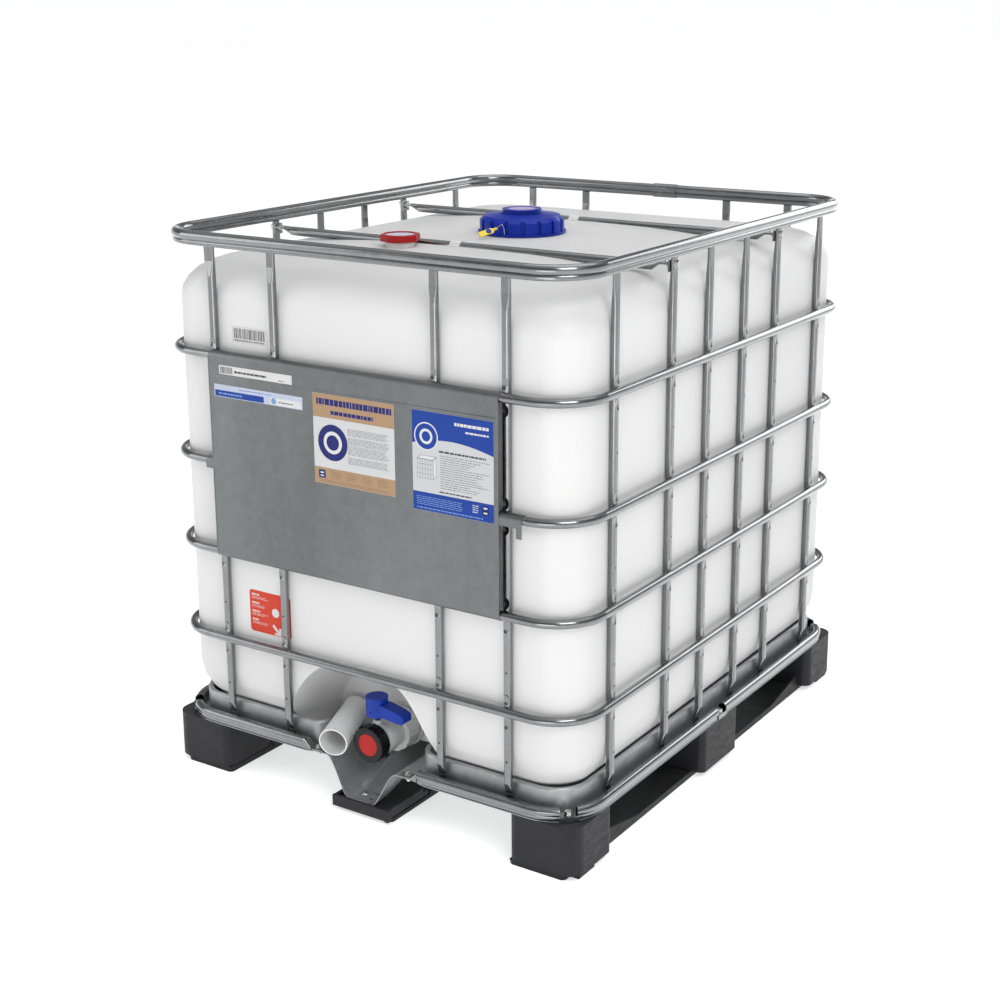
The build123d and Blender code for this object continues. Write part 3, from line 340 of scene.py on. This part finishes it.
# ---------------------------------------------------------------------------
# bottle: the CAD shell with its shading smoothed over the lofted bands
# ---------------------------------------------------------------------------
def smooth_copy(node, name, body, crease_deg):
    """Copy a node, weld its seams and blend the normals of faces that meet gently."""
    mesh = NODES[node].data.copy()
    bm = bmesh.new()
    bm.from_mesh(mesh)
    bmesh.ops.remove_doubles(bm, verts=bm.verts, dist=1e-6)
    bm.to_mesh(mesh)
    bm.free()
    if "custom_normal" in mesh.attributes:
        mesh.attributes.remove(mesh.attributes["custom_normal"])
    mesh.shade_smooth()
    mesh.set_sharp_from_angle(angle=math.radians(crease_deg))
    obj = bpy.data.objects.new(name, mesh)
    bpy.context.scene.collection.objects.link(obj)
    weighted = obj.modifiers.new("weighted", "WEIGHTED_NORMAL")
    weighted.keep_sharp = True
    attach(obj, body)
    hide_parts(node)


smooth_copy("bottle", "bottle_shell", "container", 32.0)


# ---------------------------------------------------------------------------
# printed marks on the stuck-on sheets: thin closed prisms in front of each sheet
# ---------------------------------------------------------------------------
INK = {
    "tan": paper("ink_tan", (0.36, 0.235, 0.135)),
    "navy": paper("ink_navy", (0.008, 0.014, 0.13)),
    "blue": paper("ink_blue", (0.004, 0.040, 0.27)),
    "white": paper("ink_white", (0.60, 0.61, 0.61)),
    "grey": paper("ink_grey", (0.17, 0.17, 0.18)),
    "dark": paper("ink_dark", (0.045, 0.045, 0.05)),
    "pale": paper("ink_pale", (0.16, 0.27, 0.52)),
    "brown": paper("ink_brown", (0.22, 0.14, 0.09)),
}


INK_MM = 0.06  # thickness of one layer of print
WORD_MM = (3.0, 11.0)
WORD_GAP_MM = (1.0, 1.8)


class Print:
    """Collects flat closed prisms lying on a plane that faces -Y."""

    def __init__(self, name, slot, y_mm):
        self.name, self.slot, self.y = name, slot, y_mm
        self.verts, self.faces, self.idx = [], [], []
        self.inks = []

    def poly(self, ink, pts, level=1):
        if ink not in self.inks:
            self.inks.append(ink)
        k = self.inks.index(ink)
        area = sum(a[0] * b[1] - b[0] * a[1] for a, b in zip(pts, pts[1:] + pts[:1]))
        if area < 0:
            pts = list(reversed(pts))
        n, base = len(pts), len(self.verts)
        front, back = self.y - INK_MM * level, self.y
        for y in (front, back):
            self.verts += [(x * MM, y * MM, z * MM) for x, z in pts]
        self.faces.append(tuple(base + i for i in range(n)))
        self.faces.append(tuple(base + n + i for i in reversed(range(n))))
        for i in range(n):
            j = (i + 1) % n
            self.faces.append((base + i, base + n + i, base + n + j, base + j))
        self.idx += [k] * (n + 2)

    def rect(self, ink, x0, x1, z0, z1, level=1):
        self.poly(ink, [(x0, z0), (x1, z0), (x1, z1), (x0, z1)], level)

    def disc(self, ink, x, z, r, level=1, sides=56):
        turns = [2 * math.pi * i / sides for i in range(sides)]
        self.poly(ink, [(x + r * math.cos(a), z + r * math.sin(a)) for a in turns], level)

    def lines(self, ink, x0, x1, z0, z1, count, rng, thick=0.35, level=2, ragged=0.25):
        """Rows of small bars that stand for print, with no letters in them."""
        pitch = (z1 - z0) / count
        for i in range(count):
            z = z1 - pitch * (i + 0.5)
            end = x1 - rng.random() * ragged * (x1 - x0)
            x = x0
            while x < end:
                w = rng.uniform(*WORD_MM)
                half = pitch * thick / 2
                self.rect(ink, x, min(x + w, end), z - half, z + half, level)
                x += w + rng.uniform(*WORD_GAP_MM)

    def done(self):
        mesh = bpy.data.meshes.new(self.name)
        mesh.from_pydata(self.verts, [], self.faces)
        for ink in self.inks:
            mesh.materials.append(INK[ink])
        mesh.polygons.foreach_set("material_index", self.idx)
        mesh.update()
        obj = bpy.data.objects.new(self.name, mesh)
        bpy.context.scene.collection.objects.link(obj)
        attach(obj, "container")


def node_front(node):
    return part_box(node)[0].y / MM


def barcode(p, x, stop, z0, z1, bars, gaps):
    while x < stop:
        w = rng.choice(bars)
        p.rect("dark", x, x + w, z0, z1)
        x += w + rng.choice(gaps)


rng = random.Random(7)

# white strip with bars
p = Print("strip_print", "sticker_strip", node_front("barcode_strip"))
barcode(p, -315.0, -285.0, 869.0, 882.5, (0.7, 1.1, 1.6), (0.8, 1.2))
p.lines("dark", -279.0, -196.0, 872.5, 877.0, 1, rng, 0.9, 1, 0.02)
p.lines("grey", -166.0, -152.0, 870.0, 872.5, 1, rng, 0.8, 1, 0.0)
p.done()

# pouch with a blue sheet inside and a clear overlap
p = Print("pouch_print", "sticker_pouch", node_front("document_pouch"))
p.rect("blue", -331.0, -205.0, 822.2, 834.5)
p.lines("pale", -322.0, -258.0, 826.0, 830.5, 1, rng, 0.8, 2, 0.05)
p.rect("white", -188.0, -112.0, 822.0, 836.0)
p.disc("pale", -180.0, 829.5, 6.2, 2, 28)
p.lines("grey", -168.0, -130.0, 827.0, 830.0, 1, rng, 0.8, 2, 0.05)
p.lines("pale", -268.0, -185.0, 838.0, 842.5, 1, rng, 0.5, 1, 0.0)
p.done()

# left notice
p = Print("notice_left_print", "sticker_notice_left", node_front("notice_left"))
p.rect("tan", -83.0, 109.0, 814.0, 860.0)
p.rect("tan", -83.0, 109.0, 684.2, 716.0)
p.lines("navy", -74.0, 105.0, 838.0, 852.0, 1, rng, 0.85, 2, 0.0)
p.lines("navy", -40.0, 60.0, 821.0, 830.0, 1, rng, 0.8, 2, 0.0)
p.disc("navy", -37.0, 767.0, 35.5, 1)
p.disc("white", -37.0, 767.0, 22.0, 2, 48)
p.disc("navy", -37.0, 767.0, 15.0, 3, 40)
for block_z, rows in ((793.0, 3), (776.0, 3), (758.0, 4), (738.0, 3)):
    p.lines("grey", -1.0, 98.0, block_z - rows * 2.4, block_z + rows * 2.4, rows * 2, rng, 0.4, 1, 0.12)
p.rect("navy", -73.0, -57.0, 695.0, 711.0, 2)
p.rect("white", -69.0, -61.0, 698.0, 700.5, 3)
p.rect("white", -69.0, -61.0, 704.0, 707.0, 3)
for x0 in (-43.0, -4.0, 31.0, 68.0):
    p.lines("brown", x0, x0 + 26.0, 697.0, 712.0, 4, rng, 0.35, 2, 0.35)
p.lines("brown", -73.0, 98.0, 687.0, 693.0, 2, rng, 0.35, 2, 0.05)
p.done()

# right notice
p = Print("notice_right_print", "sticker_notice_right", node_front("notice_right"))
ARC_STEPS = 24
arc = []
for i in range(ARC_STEPS + 1):
    along = i / ARC_STEPS
    arc.append((150.0 + 178.0 * along, 789.0 + 19.0 * math.sin(math.pi * (0.12 + 0.80 * along))))
p.poly("blue", arc + [(328.0, 857.8), (150.0, 857.8)])
p.rect("blue", 150.0, 328.0, 670.2, 705.0)
p.disc("white", 181.0, 811.0, 26.5, 2)
p.disc("blue", 181.0, 811.0, 24.0, 3)
p.disc("white", 181.0, 811.0, 14.5, 4, 40)
p.disc("blue", 181.0, 811.0, 9.5, 5, 36)
p.lines("white", 244.0, 318.0, 838.0, 846.0, 1, rng, 0.7, 2, 0.0)
p.lines("white", 268.0, 318.0, 827.0, 832.0, 1, rng, 0.7, 2, 0.0)
p.lines("dark", 209.0, 312.0, 783.0, 790.0, 1, rng, 0.5, 1, 0.0)
p.lines("grey", 212.0, 320.0, 716.0, 781.0, 15, rng, 0.30, 1, 0.45)
p.lines("dark", 209.0, 280.0, 708.0, 713.0, 1, rng, 0.5, 1, 0.0)
for i in range(5):
    p.rect("grey", 160.0, 196.0, 731.0 + 9.0 * i, 731.6 + 9.0 * i)
for i in range(7):
    p.rect("grey", 160.0 + 6.0 * i, 160.6 + 6.0 * i, 731.0, 767.6)
p.poly("grey", [(160.0, 767.6), (167.0, 775.0), (203.0, 775.0), (196.0, 767.6)])
p.poly("white", [(162.4, 768.4), (168.0, 774.2), (201.0, 774.2), (195.6, 768.4)], 2)
p.poly("grey", [(196.0, 731.0), (203.0, 739.0), (203.0, 775.0), (196.0, 767.6)])
p.poly("white", [(196.8, 733.0), (202.2, 739.4), (202.2, 773.0), (196.8, 767.0)], 2)
p.lines("pale", 158.0, 262.0, 680.0, 698.0, 5, rng, 0.35, 2, 0.1)
p.lines("pale", 158.0, 312.0, 673.0, 677.0, 1, rng, 0.5, 2, 0.05)
p.lines("white", 282.0, 298.0, 683.0, 699.0, 4, rng, 0.35, 2, 0.3)
p.rect("navy", 303.0, 317.0, 682.0, 700.0, 2)
p.rect("white", 306.0, 314.0, 694.0, 697.0, 3)
p.rect("white", 306.0, 314.0, 685.0, 688.0, 3)
p.done()

# small barcode on the bottle
p = Print("bottle_barcode_print", "sticker_white", node_front("bottle_label_white"))
barcode(p, -299.0, -220.0, 936.0, 956.0, (0.9, 1.4, 2.2), (1.0, 1.6, 2.2))
p.lines("grey", -298.0, -222.0, 930.5, 934.0, 1, rng, 0.7, 1, 0.0)
p.done()

# red handling label with plain bars and an arrow
p = Print("bottle_red_print", "sticker_red", node_front("bottle_label_red"))
for z in (407.0, 389.0, 371.0, 353.0):
    p.lines("white", -284.0, -262.0, z, z + 4.0, 1, rng, 0.8, 1, 0.3)
    p.lines("white", -284.0, -240.0, z - 8.0, z - 1.5, 2, rng, 0.3, 1, 0.3)
p.disc("white", -222.0, 378.0, 9.5, 1, 32)
p.poly("white", [(-232.0, 349.0), (-228.0, 353.0), (-214.0, 339.5), (-214.0, 347.0), (-208.5, 347.0),
                 (-208.5, 330.5), (-226.0, 330.5), (-226.0, 335.5), (-218.0, 335.5)])
p.done()


# ---------------------------------------------------------------------------
# floor and light
# ---------------------------------------------------------------------------
FLOOR_HALF = 60.0
FLOOR_GLOW = 0.58


def stage_floor():
    mesh = bpy.data.meshes.new("floor")
    s = FLOOR_HALF
    mesh.from_pydata([(-s, -s, 0), (s, -s, 0), (s, s, 0), (-s, s, 0)], [], [(0, 1, 2, 3)])
    obj = bpy.data.objects.new("floor", mesh)
    bpy.context.scene.collection.objects.link(obj)
    m = Mat("floor_pale", rough=0.85)
    m.color(m.ramp(m.noise(0.8), ((0.3, (0.80, 0.80, 0.80)), (0.7, (0.84, 0.84, 0.84)))))
    m.bsdf.inputs["Emission Color"].default_value = (1.0, 1.0, 1.0, 1.0)
    m.bsdf.inputs["Emission Strength"].default_value = FLOOR_GLOW
    mesh.materials.append(m.m)


stage_floor()

# The room is pale at the horizon and overhead and dim between, which gives the tubes their dark bands.
world = bpy.data.worlds.new("studio")
bpy.context.scene.world = world
world.use_nodes = True
wt = world.node_tree
bg = next(n for n in wt.nodes if n.type == "BACKGROUND")


def world_ramp(axis, stops):
    n = wt.nodes.new("ShaderNodeValToRGB")
    while len(n.color_ramp.elements) < len(stops):
        n.color_ramp.elements.new(0.5)
    for e, (at, v) in zip(n.color_ramp.elements, stops):
        e.position = at
        e.color = (v, v, v * 1.01, 1)
    wt.links.new(axis, n.inputs["Fac"])
    return n.outputs["Color"]


coords = wt.nodes.new("ShaderNodeTexCoord")
split = wt.nodes.new("ShaderNodeSeparateXYZ")
wt.links.new(coords.outputs["Generated"], split.inputs["Vector"])
side = wt.nodes.new("ShaderNodeMapRange")
side.inputs["From Min"].default_value = -0.9
side.inputs["From Max"].default_value = 0.5
wt.links.new(split.outputs["Y"], side.inputs["Value"])
height = world_ramp(split.outputs["Z"], ((0.0, 0.99), (0.10, 0.97), (0.20, 0.27), (0.50, 0.22), (0.85, 0.9)))
depth = world_ramp(side.outputs["Result"], ((0.0, 0.86), (0.45, 0.86), (1.0, 1.0)))
both = wt.nodes.new("ShaderNodeMix")
both.data_type = "RGBA"
both.blend_type = "MULTIPLY"
both.inputs[0].default_value = 1.0
wt.links.new(height, both.inputs[6])
wt.links.new(depth, both.inputs[7])
wt.links.new(both.outputs[2], bg.inputs["Color"])
bg.inputs["Strength"].default_value = 1.0


def area(name, pos, target, size, power):
    data = bpy.data.lights.new(name, "AREA")
    data.shape = "RECTANGLE"
    data.size, data.size_y = size
    data.energy = power
    obj = bpy.data.objects.new(name, data)
    obj.location = pos
    obj.rotation_mode = "QUATERNION"
    obj.rotation_quaternion = (Vector(target) - Vector(pos)).to_track_quat("-Z", "Y")
    bpy.context.scene.collection.objects.link(obj)


LIGHTS = (
    # name, place, aim, size in metres, watts
    ("key", (3.2, -2.4, 3.4), (0.0, 0.0, 0.5), (2.2, 2.2), 84.0),
    ("fill", (-3.6, -3.0, 2.0), (0.0, 0.0, 0.5), (2.4, 2.6), 38.0),
    ("top", (0.2, 0.6, 4.2), (0.0, 0.0, 0.0), (3.2, 3.2), 34.0),
    ("low", (0.9, -3.0, 0.4), (0.0, -0.5, 0.22), (1.6, 0.7), 10.0),
    ("rear", (1.2, 4.2, 2.4), (0.0, 0.0, 0.6), (2.6, 2.0), 50.0),
)
for light in LIGHTS:
    area(*light)

bpy.context.scene.view_settings.view_transform = "Standard"
